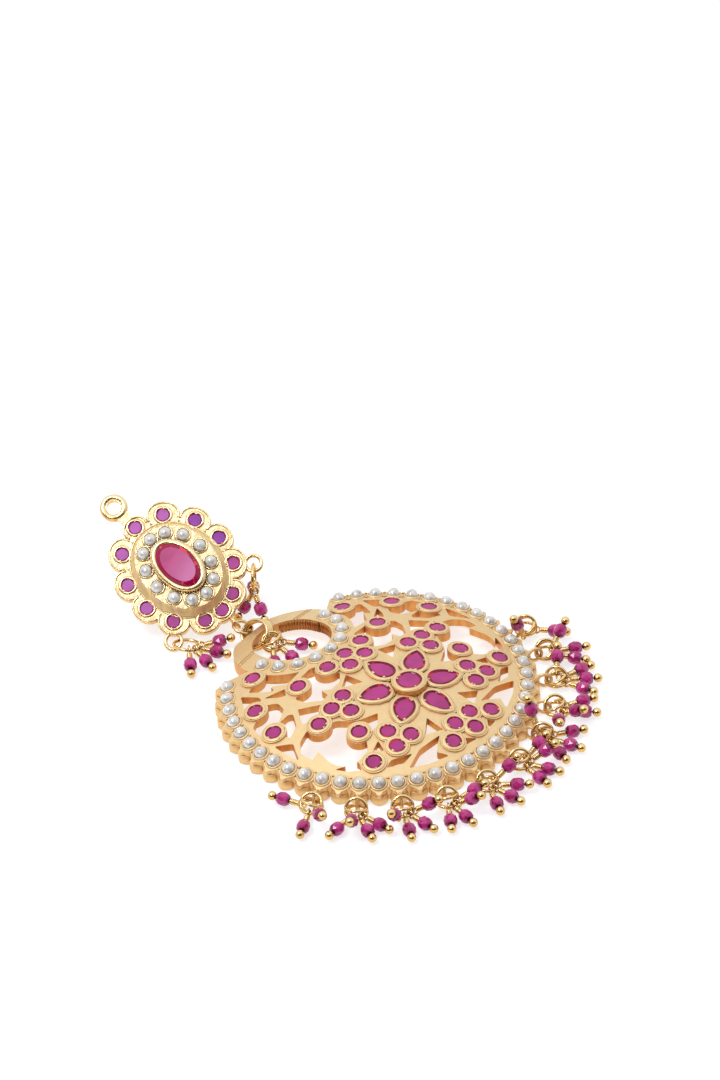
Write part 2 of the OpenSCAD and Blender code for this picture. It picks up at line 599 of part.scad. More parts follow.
module stud_plate() color(gold) on_stud() {
  difference() {
    union() {
      translate([0, 0, -petal_t]) linear_extrude(petal_t) stud_web();
      stud_boss();
      stud_cup();
      support_ring();
    }
    for (p = STUD_HOLES) translate([p[0], p[1], -petal_t - eps]) rotate(atan2(p[1] - stud_mid_y, p[0]))
      cylinder(petal_t + cut_past, r = stud_hole_r, $fn = 3);
    for (turn = PETAL_TURNS) translate(concat(petal_at(turn), -stud_stone_seat))
      cylinder(petal_t, d = petal_round_d + 2 * seat_gap, $fn = round_fn);
    for (p = STUD_PEARLS) translate(concat(p, boss_rise - pearl_d / 2 - seat_gap))
      cylinder(pearl_d, d = pearl_d + 2 * seat_gap, $fn = round_fn);
    translate([0, oval_mid_y, boss_rise + oval_collet_rise - oval_seat]) linear_extrude(2 * oval_seat)
      offset(delta = seat_gap) polygon(oval_points(oval_stone_w / 2, oval_stone_l / 2, oval_fn));
  }
  translate([0, 0, -post_l]) cylinder(post_l - cup_back, d = post_d, $fn = round_fn);
  translate([0, 0, -thread_l]) cylinder(thread_l - cup_back + petal_t, d = thread_d, $fn = round_fn);
  for (at = [left_loop_at, right_loop_at]) translate(at) wire_ring(side_loop_major, side_wire_d);
  translate(foot_loop_at) rotate([0, 90, 0]) wire_ring(loop_major, solder_wire_d);
}
module stud_oval_stone() color(ruby) on_stud() translate([0, oval_mid_y, boss_rise + oval_collet_rise])
  cut_stone(oval_points(oval_stone_w / 2, oval_stone_l / 2, oval_fn),
    oval_crown, oval_seat - seat_gap, oval_table);
module stud_pearls() color(pearl) on_stud() for (p = STUD_PEARLS) translate(concat(p, boss_rise))
  sphere(d = pearl_d, $fn = round_fn);
module stud_stones() color(ruby) on_stud() for (turn = PETAL_TURNS) translate(concat(petal_at(turn), 0))
  cut_stone(oval_points(petal_round_d / 2, petal_round_d / 2, stone_fn),
    stone_crown, stud_stone_seat - seat_gap);
module ear_nut() color(gold) on_stud() translate([0, 0, -cup_back - nut_gap - nut_l]) difference() {
  union() {
    cylinder(nut_l, d = nut_waist_d, $fn = round_fn);
    cylinder(nut_rim_l, d = nut_d, $fn = round_fn);
    translate([0, 0, nut_l - nut_rim_l]) cylinder(nut_rim_l, d = nut_d, $fn = round_fn);
  }
  translate([0, 0, -cut_past]) cylinder(nut_l + 2 * cut_past, d = thread_d + 2 * nut_play, $fn = round_fn);
}

// Drops: a jump ring whose middle is the origin, and pins spread round it
module at_pin(row, major) {
  rotate(row[0]) translate([major, 0, 0]) rotate(len(row) > 3 ? row[3] : 0) rotate([0, -row[1], 0])
    children();
}
module pins_on(rows, major) {
  for (row = rows) at_pin(row, major) {
    rotate([90, 0, 0]) wire_ring(pin_loop_r, pin_wire_d);
    translate([pin_loop_r, 0, 0]) rotate([0, 90, 0])
      cylinder(bead_start + row[2] - pin_loop_r - bead_gap, d = wrap_d, $fn = round_fn);
    translate([pin_loop_r, 0, 0]) rotate([0, 90, 0])
      cylinder(ball_x + row[2] - pin_loop_r, d = pin_wire_d, $fn = round_fn);
    translate([ball_x + row[2], 0, 0]) sphere(d = ball_d, $fn = round_fn);
  }
}
module beads_on(rows, major) {
  for (row = rows) at_pin(row, major) translate([bead_start + row[2] + bead_l / 2, 0, 0]) rotate([0, 90, 0])
    rotate_extrude($fn = bead_fn) polygon([[bead_hole_r, -bead_l / 2], [bead_end_r, -bead_l / 2],
      [bead_d / 2, -bead_belt / 2], [bead_d / 2, bead_belt / 2], [bead_end_r, bead_l / 2],
      [bead_hole_r, bead_l / 2]]);
}
module at_fringe(drop) {
  on_table() rotate(drop[0] * pearl_step - 90) translate([fringe_ring_r, 0, lie_h]) children();
}
module at_hoop_drop() {
  on_table() translate([hoop_drop_x, bail_y - pass_reach - jump_major, bail_h]) rotate(-90) children();
}
module at_left_drop() {
  on_table() translate(left_ring_at) rotate(-90 + left_drop_turn) rotate([-left_drop_roll, 0, 0]) children();
}
module at_right_drop() {
  on_table() translate([right_low[0], right_low[1], right_ring_h]) rotate(right_drop_turn) rotate([90, 0, 0])
    children();
}
module fringe_rings() color(gold) for (drop = FRINGE) at_fringe(drop) wire_ring(jump_major, jump_wire_d);
module drop_pins(n) color(gold) at_fringe(FRINGE[n - 1]) pins_on(FRINGE[n - 1][1], jump_major);
module drop_beads(n) color(ruby) at_fringe(FRINGE[n - 1]) beads_on(FRINGE[n - 1][1], jump_major);
module hoop_drop_ring() color(gold) at_hoop_drop() wire_ring(jump_major, jump_wire_d);
module hoop_drop_pins() color(gold) at_hoop_drop() pins_on(HOOP_DROP_PINS, jump_major);
module hoop_drop_beads() color(ruby) at_hoop_drop() beads_on(HOOP_DROP_PINS, jump_major);
module left_drop_ring() color(gold) at_left_drop() wire_ring(side_ring_major, jump_wire_d);
module left_drop_pins() color(gold) at_left_drop() pins_on(LEFT_DROP_PINS, side_ring_major);
module left_drop_beads() color(ruby) at_left_drop() beads_on(LEFT_DROP_PINS, side_ring_major);
module right_drop_ring() color(gold) at_right_drop() wire_ring(side_ring_major, jump_wire_d);
module right_drop_pins() color(gold) at_right_drop() pins_on(RIGHT_DROP_PINS, side_ring_major);
module right_drop_beads() color(ruby) at_right_drop() beads_on(RIGHT_DROP_PINS, side_ring_major);

// Link
module bail_ring() color(gold) on_table() translate([0, bail_y, bail_h]) rotate([0, 90 + bail_slant, 0])
  wire_ring(bail_major, bail_wire_d);
module link_ring() color(gold) on_table() translate([0, bail_y + link_reach, bail_h]) rotate(-link_turn)
  rotate([link_rise, 0, 0]) rotate([0, link_roll, 0]) translate([0, link_major, 0])
    wire_ring(link_major, jump_wire_d);

disc_plate();
rim_pearls();
hoop_pearls();
flower_stone();
petal_stone(1);  // petal_stone_1
petal_stone(2);  // petal_stone_2
petal_stone(3);  // petal_stone_3
petal_stone(4);  // petal_stone_4
petal_stone(5);  // petal_stone_5
petal_stone(6);  // petal_stone_6
tip_stones();
vine_stones();
stud_plate();
stud_oval_stone();
stud_pearls();
stud_stones();
ear_nut();
bail_ring();
link_ring();
fringe_rings();
drop_pins(1);  // drop_01_pins
drop_pins(2);  // drop_02_pins
drop_pins(3);  // drop_03_pins
drop_pins(4);  // drop_04_pins
drop_pins(5);  // drop_05_pins
drop_pins(6);  // drop_06_pins
drop_pins(7);  // drop_07_pins
drop_pins(8);  // drop_08_pins
drop_pins(9);  // drop_09_pins
drop_pins(10);  // drop_10_pins
drop_pins(11);  // drop_11_pins
drop_beads(1);  // drop_01_beads
drop_beads(2);  // drop_02_beads
drop_beads(3);  // drop_03_beads
drop_beads(4);  // drop_04_beads
drop_beads(5);  // drop_05_beads
drop_beads(6);  // drop_06_beads
drop_beads(7);  // drop_07_beads
drop_beads(8);  // drop_08_beads
drop_beads(9);  // drop_09_beads
drop_beads(10);  // drop_10_beads
drop_beads(11);  // drop_11_beads
hoop_drop_ring();
hoop_drop_pins();
hoop_drop_beads();
left_drop_ring();
left_drop_pins();
left_drop_beads();
right_drop_ring();
right_drop_pins();
right_drop_beads();
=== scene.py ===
import math
import random

import bpy
from mathutils import Matrix, Vector


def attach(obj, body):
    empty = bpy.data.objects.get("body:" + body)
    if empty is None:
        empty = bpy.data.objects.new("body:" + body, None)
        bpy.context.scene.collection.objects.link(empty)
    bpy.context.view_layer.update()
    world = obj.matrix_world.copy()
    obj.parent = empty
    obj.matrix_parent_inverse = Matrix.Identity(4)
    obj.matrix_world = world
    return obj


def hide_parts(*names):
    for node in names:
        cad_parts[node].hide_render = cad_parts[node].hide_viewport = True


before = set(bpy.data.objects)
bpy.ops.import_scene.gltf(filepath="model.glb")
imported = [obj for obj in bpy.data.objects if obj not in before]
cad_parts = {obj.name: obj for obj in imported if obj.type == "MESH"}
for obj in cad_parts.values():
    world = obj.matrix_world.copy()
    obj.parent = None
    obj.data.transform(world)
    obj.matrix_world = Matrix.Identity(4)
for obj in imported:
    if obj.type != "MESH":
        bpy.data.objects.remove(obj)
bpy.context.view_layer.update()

MM = 0.001
dice = random.Random(11)

# Sizes shared with the solids, in millimetres and degrees
RIM_R = 26.0
DOME_RISE = 4.2
PLATE_T = 2.4
DOME_R = (RIM_R ** 2 + DOME_RISE ** 2) / (2 * DOME_RISE)
PLATE_H = 3.16442
REST = Vector((1.5, -11.65, 0))
PEARL_STEP = 7.2
RIM_STEPS = range(-20, 21)
PEARL_D = 2.3
STONE_D = 2.8
COLLET_RISE = 0.3
FLOWER_Y = -7.41
FLOWER_D = 4.4
FLOWER_RISE = 1.1
FLOWER_STEP = 60
PETAL_L = 5.6
PETAL_W = 4.4
PETAL_PLACE = 6.3
PEAR_POINT = 0.6
TIP_R, TIP_SIDE_R, TIP_SIDE_TURN = 14.3, 11.648, 9.8
HOOP_PEARLS = 9
HOOP_PEARL_R = 8.6
HOOP_Y = 18.668
HOOP_BAND = 4.3
OPENING_Y = 18.218
OPENING_R = 6.45
OPENING_STRETCH = 1.7
VINES = [(0.535, -0.29), (0.667, -0.518), (0.625, -0.023), (0.82, 0.207), (0.72, 0.45),
         (0.472, 0.68), (0.418, 0.325), (0.175, 0.272), (0.2, -0.81)]

# The stud, leaning on its post, and its petals as turns and shares of the full size
STUD_AT = (-0.393803, 43.9635, 9.01788)
STUD_PITCH, STUD_LEAN, STUD_YAW = 24, 27, -2
STUD_MID_Y = 0.7
STUD_W, STUD_L = 9.1, 11.0
PETALS = [(0, 0.84), (34, 1.04), (67, 1.0), (96, 0.98), (125, 1.0), (158, 0.96), (180, 0.86)]
STUD_PETAL_L, STUD_PETAL_STRETCH = 4.9, 1.2
STUD_STONE_D = 2.5
STUD_PEARLS = 12
BOSS_RISE = 2.1
OVAL_MID_Y = 0.4
OVAL_W, OVAL_L = 6.2, 9.8
OVAL_WALL = 0.8
OVAL_RISE = 3.0
PEARL_OVAL_W, PEARL_OVAL_L = 5.31, 7.11
WEB_PAST = 3.6
SUPPORT_PAST = 3.5
CUP_BACK = 3.9
NUT_GAP, NUT_L, NUT_D, NUT_RIM = 1.3, 2.4, 4.4, 0.7

# The drops: a place along the rim, and pins with turn, rise, extra neck and swing
RING_R = 1.8
SIDE_RING_R = 2.4
FRINGE_R = 31.2
LIE_H = 1.22
PIN_WIRE = 0.38
PIN_LOOP = 0.74
NECK = 1.25
BEAD_START = 2.28
BEAD_L, BEAD_D = 2.3, 2.4
FRINGE = [
    (-10, [(-92, 4, 0), (6, 0, 0), (40, 34, 0)]),
    (-8, [(-32, 0, 0), (-2, 36, 0), (28, 0, 0), (56, 0, 0)]),
    (-6, [(-26, 46, 0), (4, 0, 0), (38, 0, 0), (72, 34, 0)]),
    (-4, [(-17, 0, 0), (14, 0, 0), (44, 34, 0), (76, 30, 0)]),
    (-2, [(-20, 0, 0), (14, 0, 0), (46, 6, 0), (92, 26, 0)]),
    (0, [(-12, 0, 0), (18, 0, 0), (48, 36, 0), (86, 20, 0)]),
    (2, [(-34, 0, 0), (-2, 0, 0), (38, 0, 0), (140, 70, 0.9, 20)]),
    (4, [(-74, 26, 0), (-30, 34, 0), (0, 0, 0), (32, 0, 0)]),
    (6, [(-32, 0, 0), (-2, 0, 0), (28, 0, 0), (82, 24, 0)]),
    (8, [(-36, 0, 0), (-6, 0, 0), (38, 30, 0)]),
    (10, [(-42, 0, 0), (228, 62, 0.9, -26)])]
HOOP_DROP = [(-46, -8, 0), (-8, -8, 0), (36, -8, 0)]
LEFT_DROP = [(-58, -25, 0), (-29, -14, 0), (-2, 3, 0), (28, 19, 0)]
RIGHT_DROP = [(-70, 32, 0, 20), (-46, -20, 0, -6), (-108, 10, 0, -30)]
BAIL_AT = (0, 27.218, 2.06125)
BAIL_SLANT = 50
HOOP_RING_AT = (0, 23.798, 2.06125)
LEFT_RING_AT = (-8.6493, 36.1567, 1.2523)
LEFT_TURN, LEFT_ROLL = 15, 18
RIGHT_RING_AT = (7.4208, 33.8556, 7.21538)
RIGHT_TURN = -143.401

# Sizes of what is added here, in millimetres and degrees
FACET_ANGLE = 14
LOBE_ROWS = ((1.4, 0.03), (1.58, 0.3), (1.6, 1.4), (1.45, 1.7))
COLLAR_ROWS = ((2.6, 0.02), (2.3, 0.2), (1.95, 1.0), (1.72, 1.7), (1.56, 1.98))
BEAD_SIDES = 9
BEAD_ROWS = ((-0.5, 0.31, 0), (-0.3, 0.46, 0.5), (0.0, 0.51, 0), (0.3, 0.46, 0.5), (0.5, 0.31, 0))
BEAD_BORE_R = PIN_WIRE / 2 + 0.14
COIL_TURNS, COIL_R, COIL_WIRE = 4.5, 0.38, 0.17
COIL_START = PIN_LOOP + PIN_WIRE / 2 + 0.05
RISING_WIRE = 0.27
LEANING_R, LEANING_WIRE, LEANING_H = 1.75, 0.32, 2.05
BAIL_STRANDS = ((-0.62, 0, 2.58, 0.3), (0.62, 0.45, 2.58, 0.3), (-1.15, 0, 2.5, 0.24), (1.12, 0.8, 2.5, 0.22))
RIB_STEP = 4.5
SUPPORT_ROLL_R, SUPPORT_ROLL_WIRE = 1.9, 0.62


# Places
def move(x, y, z=0.0):
    return Matrix.Translation((x, y, z))


def turn(axis, degrees):
    return Matrix.Rotation(math.radians(degrees), 4, axis)


TABLE = move(*REST)
PLATE = TABLE @ move(0, 0, PLATE_H)
STUD = (TABLE @ move(*STUD_AT) @ turn("Z", STUD_YAW) @ turn("X", STUD_PITCH)
        @ turn("Y", -STUD_LEAN))


def dome_z(radius):
    return math.sqrt(DOME_R ** 2 - radius ** 2) - DOME_R + DOME_RISE


def on_dome(x, y):
    """The plate's own place at x, y with its Z square to the dome."""
    heading = math.degrees(math.atan2(y, x))
    tilt = math.degrees(math.asin(math.hypot(x, y) / DOME_R))
    return (PLATE @ move(0, 0, DOME_RISE - DOME_R) @ turn("Z", heading) @ turn("Y", tilt)
            @ turn("Z", -heading) @ move(0, 0, DOME_R))


def polar(radius, degrees, y=0.0):
    """A point at a turn from the upward direction, clockwise."""
    a = math.radians(degrees)
    return radius * math.sin(a), y + radius * math.cos(a)


def petal_place(i):
    """The place of one of the flower's petals, its Y pointing away from the flower's middle."""
    return on_dome(*polar(PETAL_PLACE, FLOWER_STEP * i, FLOWER_Y)) @ turn("Z", -FLOWER_STEP * i)


def stud_petal_xy(t):
    a = math.radians(t)
    return STUD_W * math.sin(a), STUD_MID_Y + STUD_L * math.cos(a)


TIP_XY = [polar(TIP_SIDE_R if k else TIP_R, FLOWER_STEP * i + TIP_SIDE_TURN * k, FLOWER_Y)
          for i in range(6) for k in (-1, 0, 1)]
VINE_XY = [(side * x * RIM_R, y * RIM_R) for side in (-1, 1) for x, y in VINES]
RIM_XY = [polar(RIM_R, 180 - PEARL_STEP * i) for i in RIM_STEPS]
HOOP_XY = [polar(HOOP_PEARL_R, 90 + 180 / (HOOP_PEARLS - 1) * i, HOOP_Y) for i in range(HOOP_PEARLS)]
STUD_PETALS = [(side * t, share) for t, share in PETALS for side in ((1,) if t % 180 == 0 else (1, -1))]
STUD_PEARL_XY = [(PEARL_OVAL_W * math.sin(a), OVAL_MID_Y + PEARL_OVAL_L * math.cos(a))
                 for a in (math.radians(360 / STUD_PEARLS * i) for i in range(STUD_PEARLS))]


# Outlines, each a closed row of points
def oval(half_w, half_l, count):
    return [(half_w * math.cos(2 * math.pi * i / count), half_l * math.sin(2 * math.pi * i / count))
            for i in range(count)]


def circle(diameter, count):
    return oval(diameter / 2, diameter / 2, count)


def pear(width, length, count):
    points = []
    for i in range(count):
        t = -2 * math.pi * i / count
        points.append((width / 2 * math.sin(t) * abs(math.sin(t / 2)) ** PEAR_POINT, length / 2 * math.cos(t)))
    return points[::-1] if area(points) < 0 else points


def area(points):
    return sum(a[0] * b[1] - b[0] * a[1] for a, b in zip(points, points[1:] + points[:1])) / 2


def grown(points, by):
    """The outline moved outwards by a distance, or by one for each point."""
    n = len(points)
    steps = by if isinstance(by, list) else [by] * n
    moved = []
    for i, (x, y) in enumerate(points):
        before, after = points[i - 1], points[(i + 1) % n]
        dx, dy = after[0] - before[0], after[1] - before[1]
        size = math.hypot(dx, dy)
        moved.append((x + dy / size * steps[i], y - dx / size * steps[i]))
    return moved


def ragged(count, reach):
    """A smooth row of small random steps that joins up with itself."""
    waves = [(k, dice.uniform(0, 2 * math.pi), dice.uniform(0.4, 1)) for k in range(2, 7)]
    scale = reach / sum(weight for k, start, weight in waves)
    return [scale * sum(weight * math.sin(k * 2 * math.pi * i / count + start) for k, start, weight in waves)
            for i in range(count)]


# Meshes
class Piece:
    """Gathers points and faces in millimetres, and makes one object of them."""

    def __init__(self, name):
        self.name = name
        self.points = []
        self.faces = []
        self.shade = []

    def add(self, points, faces, place, shade=None):
        first = len(self.points)
        self.points += [(place @ Vector(p)) * MM for p in points]
        self.faces += [tuple(first + i for i in face) for face in faces]
        self.shade += shade or [0.0] * len(points)

    def make(self, material, replaces=(), smooth=True, sharp=None):
        mesh = bpy.data.meshes.new(self.name)
        mesh.from_pydata(self.points, [], self.faces)
        mesh.validate()
        # Each point's share of painted edge shade, which the stone and bead finishes read
        rim = mesh.attributes.new("rim", "FLOAT", "POINT")
        rim.data.foreach_set("value", self.shade)
        if smooth:
            mesh.shade_smooth()
        if sharp:
            mesh.set_sharp_from_angle(angle=math.radians(sharp))
        mesh.materials.append(material)
        made = bpy.data.objects.new(self.name, mesh)
        bpy.context.collection.objects.link(made)
        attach(made, "root")
        if replaces:
            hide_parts(*replaces)
        return made


def layers(piece, rows, place, caps=True, shades=None):
    """Joins rows of equally many points into a skin, closed at both ends if it has caps."""
    n = len(rows[0])
    points = [p for row in rows for p in row]
    faces = []
    for k in range(len(rows) - 1):
        for i in range(n):
            j = (i + 1) % n
            faces.append((k * n + i, k * n + j, (k + 1) * n + j, (k + 1) * n + i))
    if caps:
        faces.append(tuple(range(n - 1, -1, -1)))
        faces.append(tuple((len(rows) - 1) * n + i for i in range(n)))
    shade = [s for s in shades for _ in range(n)] if shades else None
    piece.add(points, faces, place, shade)


def tube(piece, path, radius, place, sides=8, closed=False):
    """A round bar along a path."""
    n = len(path)
    path = [Vector(p) for p in path]
    rows = []
    side = None
    for i, p in enumerate(path):
        ahead = path[(i + 1) % n] if closed or i < n - 1 else p
        behind = path[i - 1] if closed or i > 0 else p
        along = (ahead - behind).normalized()
        if side is None:
            side = along.cross(Vector((0.31, 0.17, 0.94)))
        side = (side - along * side.dot(along)).normalized()
        up = along.cross(side)
        rows.append([p + radius * (side * math.cos(a) + up * math.sin(a))
                     for a in (2 * math.pi * s / sides for s in range(sides))])
    if closed:
        points = [p for row in rows for p in row]
        faces = [(k * sides + s, k * sides + (s + 1) % sides, ((k + 1) % n) * sides + (s + 1) % sides,
                  ((k + 1) % n) * sides + s) for k in range(n) for s in range(sides)]
        piece.add(points, faces, place)
    else:
        layers(piece, rows, place)


def wire_ring(piece, radius, thick, place, count=40, sides=8):
    """A closed ring of wire about the place's Z."""
    tube(piece, [(x, y, 0) for x, y in oval(radius, radius, count)], thick, place, sides, closed=True)


def blob(piece, at, radius, place, flat=0.7, sides=10, rows=5):
    """A small rounded bead of metal, its lower half in what it sits on."""
    skin = []
    for k in range(rows):
        a = math.pi * (k + 0.5) / rows - math.pi / 2
        skin.append([(at[0] + radius * math.cos(a) * math.cos(2 * math.pi * s / sides),
                      at[1] + radius * math.cos(a) * math.sin(2 * math.pi * s / sides),
                      at[2] + flat * radius * math.sin(a)) for s in range(sides)])
    layers(piece, skin, place)


def raised_stone(piece, outline, place, crown, base, table):
    """A cut stone: a flat table, facets down to the girdle, and a closed back."""
    # Each row: share of the outline, height, and share of painted edge shade
    rows = [(0.3, -base, 1.0), (0.97, -0.12 * crown, 1.0), (1, 0, 1.0), (1, 0.2 * crown, 1.0)]
    for part in (0.5, 1):
        rows.append((1 + (table - 1) * part ** 1.3, crown * (0.2 + 0.8 * part), 1 - 0.2 * part))
    rows += [(table * 0.95, crown * 1.01, 0.0), (table * 0.8, crown * 1.02, 0.0)]
    layers(piece, [[(x * share, y * share, height) for x, y in outline] for share, height, shade in rows],
           place, shades=[shade for share, height, shade in rows])


def flush_stone(piece, outline, place, table, base, band, climb):
    """A flat stone let into the metal: its cut edge climbs from the table to the rolled lip."""
    half_w, half_l = max(x for x, y in outline), max(y for x, y in outline)
    uneven = ragged(len(outline), 0.4 * band)

    def inset(share):
        return [(x * (1 - share * (band + u) / half_w), y * (1 - share * (band + u) / half_l))
                for (x, y), u in zip(outline, uneven)]
    edge, inner = inset(1), inset(0.55)
    rows = [[(x * 0.3, y * 0.3, -base) for x, y in outline], [(x, y, -0.15) for x, y in outline],
            [(x, y, table + climb) for x, y in grown(outline, 0.05)],
            [(x, y, table + 0.55 * climb) for x, y in inner], [(x, y, table) for x, y in edge],
            [(x * 0.8, y * 0.8, table) for x, y in edge]]
    # Painted edge shade: full on the sides and up the climbing edge, fading out across the table
    layers(piece, rows, place, shades=[1.0, 1.0, 1.0, 0.9, 0.45, 0.0])


def bites(piece, outline, place, height, count, radius):
    """Small grains of metal pushed over a stone's edge."""
    for _ in range(count):
        x, y = outline[dice.randrange(len(outline))]
        pull = dice.uniform(0.93, 1.0)
        blob(piece, (x * pull, y * pull, height), radius * dice.uniform(0.7, 1.2), place, 0.6, 8, 4)


def lip(piece, outline, place, height, width, rise, bite, rag):
    """A rolled edge of metal round a stone or pearl, its inner edge uneven and rubbed down by wear."""
    uneven = ragged(len(outline), rag)
    steps = [(-bite, -0.12, 1), (-bite * 0.8, 0.45, 1), (0.1 * width, 0.9, 0.6), (0.42 * width, 1, 0.3),
             (0.75 * width, 0.62, 0.1), (width, 0, 0), (width, -0.3, 0)]
    rows = []
    for out, up, loose in steps:
        edge = grown(outline, [out + loose * u for u in uneven])
        rows.append([(x, y, height + rise * up) for x, y in edge])
    layers(piece, rows, place, caps=False)


# Materials
class Shade:
    """A value or colour in a node tree. Arithmetic on it adds Math nodes."""

    def __init__(self, nodes, socket):
        self.nodes = nodes
        self.socket = socket

    def maths(self, operation, first, second):
        return self.nodes.node("ShaderNodeMath", {"operation": operation}, {0: first, 1: second})

    def __add__(self, other):
        return self.maths("ADD", self, other)

    def __rsub__(self, other):
        return self.maths("SUBTRACT", other, self)

    def __mul__(self, other):
        return self.maths("MULTIPLY", self, other)

    __radd__ = __add__
    __rmul__ = __mul__


class Nodes:
    """A node tree, built from nothing."""

    def __init__(self, tree):
        self.tree = tree
        self.tree.nodes.clear()

    def node(self, kind, settings=None, sockets=None, out=0):
        """Adds a node with its settings and the values or links of its sockets, and gives an output."""
        made = self.tree.nodes.new(kind)
        for name, value in (settings or {}).items():
            if name == "stops":
                while len(made.color_ramp.elements) < len(value):
                    made.color_ramp.elements.new(0.5)
                for stop, (place, tint) in zip(made.color_ramp.elements, value):
                    stop.position = place
                    stop.color = (*tint, 1)
            else:
                setattr(made, name, value)
        for name, value in (sockets or {}).items():
            if isinstance(value, Shade):
                self.tree.links.new(value.socket, made.inputs[name])
            else:
                made.inputs[name].default_value = value
        return Shade(self, made.outputs[out]) if made.outputs else None

    def vector(self, operation, first, second, out=0):
        return self.node("ShaderNodeVectorMath", {"operation": operation}, {0: first, 1: second}, out=out)

    def part(self, vector, axis):
        return self.node("ShaderNodeSeparateXYZ", {}, {0: vector}, out=axis)


class Finish(Nodes):
    """One material."""

    def __init__(self, name):
        self.material = bpy.data.materials.new(name)
        self.material.use_nodes = True
        super().__init__(self.material.node_tree)

    def where(self, scale=None):
        """The place on the object, each axis scaled if asked."""
        place = self.node("ShaderNodeTexCoord", out="Object")
        return self.vector("MULTIPLY", place, scale) if scale else place

    def noise(self, per_mm, detail, place=None):
        return self.node("ShaderNodeTexNoise", {}, {"Vector": place or self.where(), "Scale": per_mm / MM,
                                                    "Detail": detail})

    def cells(self, per_mm):
        return self.node("ShaderNodeTexVoronoi", {}, {"Vector": self.where(), "Scale": per_mm / MM})

    def between(self, value, low, high):
        return self.node("ShaderNodeMapRange", {}, {"Value": value, "From Min": low, "From Max": high})

    def mix(self, factor, first, second):
        return self.node("ShaderNodeMix", {"data_type": "RGBA"},
                         {0: factor, 6: opaque(first), 7: opaque(second)}, out=2)

    def normal(self):
        return self.node("ShaderNodeNewGeometry", out="Normal")

    def rim(self):
        """What the mesh says of its edge, as the share of painted edge shade: 1 there, 0 on the face."""
        return self.node("ShaderNodeAttribute", {"attribute_name": "rim"}, out="Fac")

    # How open a point is to what stands round it, used to place painted shade
    def crevice(self, reach):
        return self.node("ShaderNodeAmbientOcclusion", {"samples": 8}, {"Distance": reach * MM}, out="AO")

    def bevel(self, radius):
        return self.node("ShaderNodeBevel", {"samples": 4}, {"Radius": radius * MM})

    def bump(self, height, depth, strength, normal=None):
        sockets = {"Height": height, "Distance": depth * MM, "Strength": strength}
        if normal:
            sockets["Normal"] = normal
        return self.node("ShaderNodeBump", {}, sockets)

    def surface(self, **sockets):
        named = {name.replace("_", " "): opaque(value) for name, value in sockets.items()}
        shader = self.node("ShaderNodeBsdfPrincipled", {}, named)
        self.node("ShaderNodeOutputMaterial", {}, {"Surface": shader})
        return self.material


def opaque(value):
    """A colour with its fourth number, or any other value as it is."""
    return (*value, 1.0) if isinstance(value, tuple) and len(value) == 3 else value


def dimmed(colour, share):
    return tuple(c * share for c in colour)


def gold(name, top, wall, crevice_shade, rough, edge=0.07, dents=0.02, dent_size=0.6, metal=1.0, painted_edge_highlight=0.5, rim=None):
    """Plated gold with painted light: the pale top colour where it faces up, an orange painted wall shade on the
    walls, brown painted shade in the crevices and a painted highlight on edges.
    Walls outside the plate's rim turn to another colour, a paler painted wall shade, if one is given."""
    f = Finish(name)
    # Painted light: how far the surface faces up picks the pale top colour over the painted wall shade
    up = f.between(f.part(f.normal(), 2), 0.25, 0.8)
    grain = f.noise(0.9, 4)
    streaks = f.noise(1.1, 2, f.where((1, 1, 0.2)))
    # Painted wall shade: the orange wall colour, with streaks of random tone
    side = f.mix(f.between(streaks, 0.35, 0.65), wall, dimmed(wall, 0.8))
    # Painted wall shade, paler on the walls outside the plate's rim
    if rim:
        reach = f.vector("DISTANCE", f.where((1, 1, 0)), REST * MM, out=1)
        side = f.mix(f.between(reach, (RIM_R + 0.3) * MM, (RIM_R + 0.8) * MM), side, rim)
    base = f.mix(up, side, f.mix(f.between(grain, 0.3, 0.7), top, dimmed(top, 0.93)))
    # Painted shade: brown in crevices and at joins, where other surfaces stand close
    base = f.mix(f.between(f.crevice(0.5), 0.15, 0.75), crevice_shade, base)
    # Painted highlight: a pale colour along edges, where the rounded-off normal turns from the true one
    turned = 1 - f.vector("DOT_PRODUCT", f.bevel(2.2 * edge), f.normal(), out=1)
    base = f.mix(f.between(turned, 0.02, 0.16) * painted_edge_highlight, base, (1.0, 0.9, 0.66))
    return f.surface(Base_Color=base, Metallic=metal, Roughness=f.between(grain, 0, 1) * 0.12 + rough,
                     Normal=f.bump(f.noise(1 / dent_size, 2), dents, 0.6, f.bevel(edge)))


def stone_finish(name, face, rim, spark, rough=0.12, pale=None):
    """Foiled glass: an even face, a dark uneven edge of painted shade and a few painted glints in it.
    The face turns pale towards one end, between two places along Y, if a colour is given."""
    f = Finish(name)
    base = f.mix(f.between(f.noise(0.35, 2), 0.35, 0.65), face, dimmed(face, 0.78))
    if pale:
        colour, start, end = pale
        base = f.mix(f.between(f.part(f.where(), 1), start * MM, end * MM), base, colour)
    # Painted shade: the rim colour along the stone's edge, made uneven by noise
    dark = f.between(f.rim() + f.noise(1.3, 3) * 0.5, 0.42, 0.72)
    base = f.mix(dark, base, rim)
    # Painted glints: the spark colour in a few patches of the painted edge shade
    base = f.mix(f.between(f.noise(0.8, 1), 0.58, 0.64) * dark, base, spark)
    return f.surface(Base_Color=base, Roughness=rough, IOR=1.4, Coat_Weight=0.12, Coat_Roughness=0.04,
                     Normal=f.bump(f.noise(0.8, 2), 0.02, 0.4))


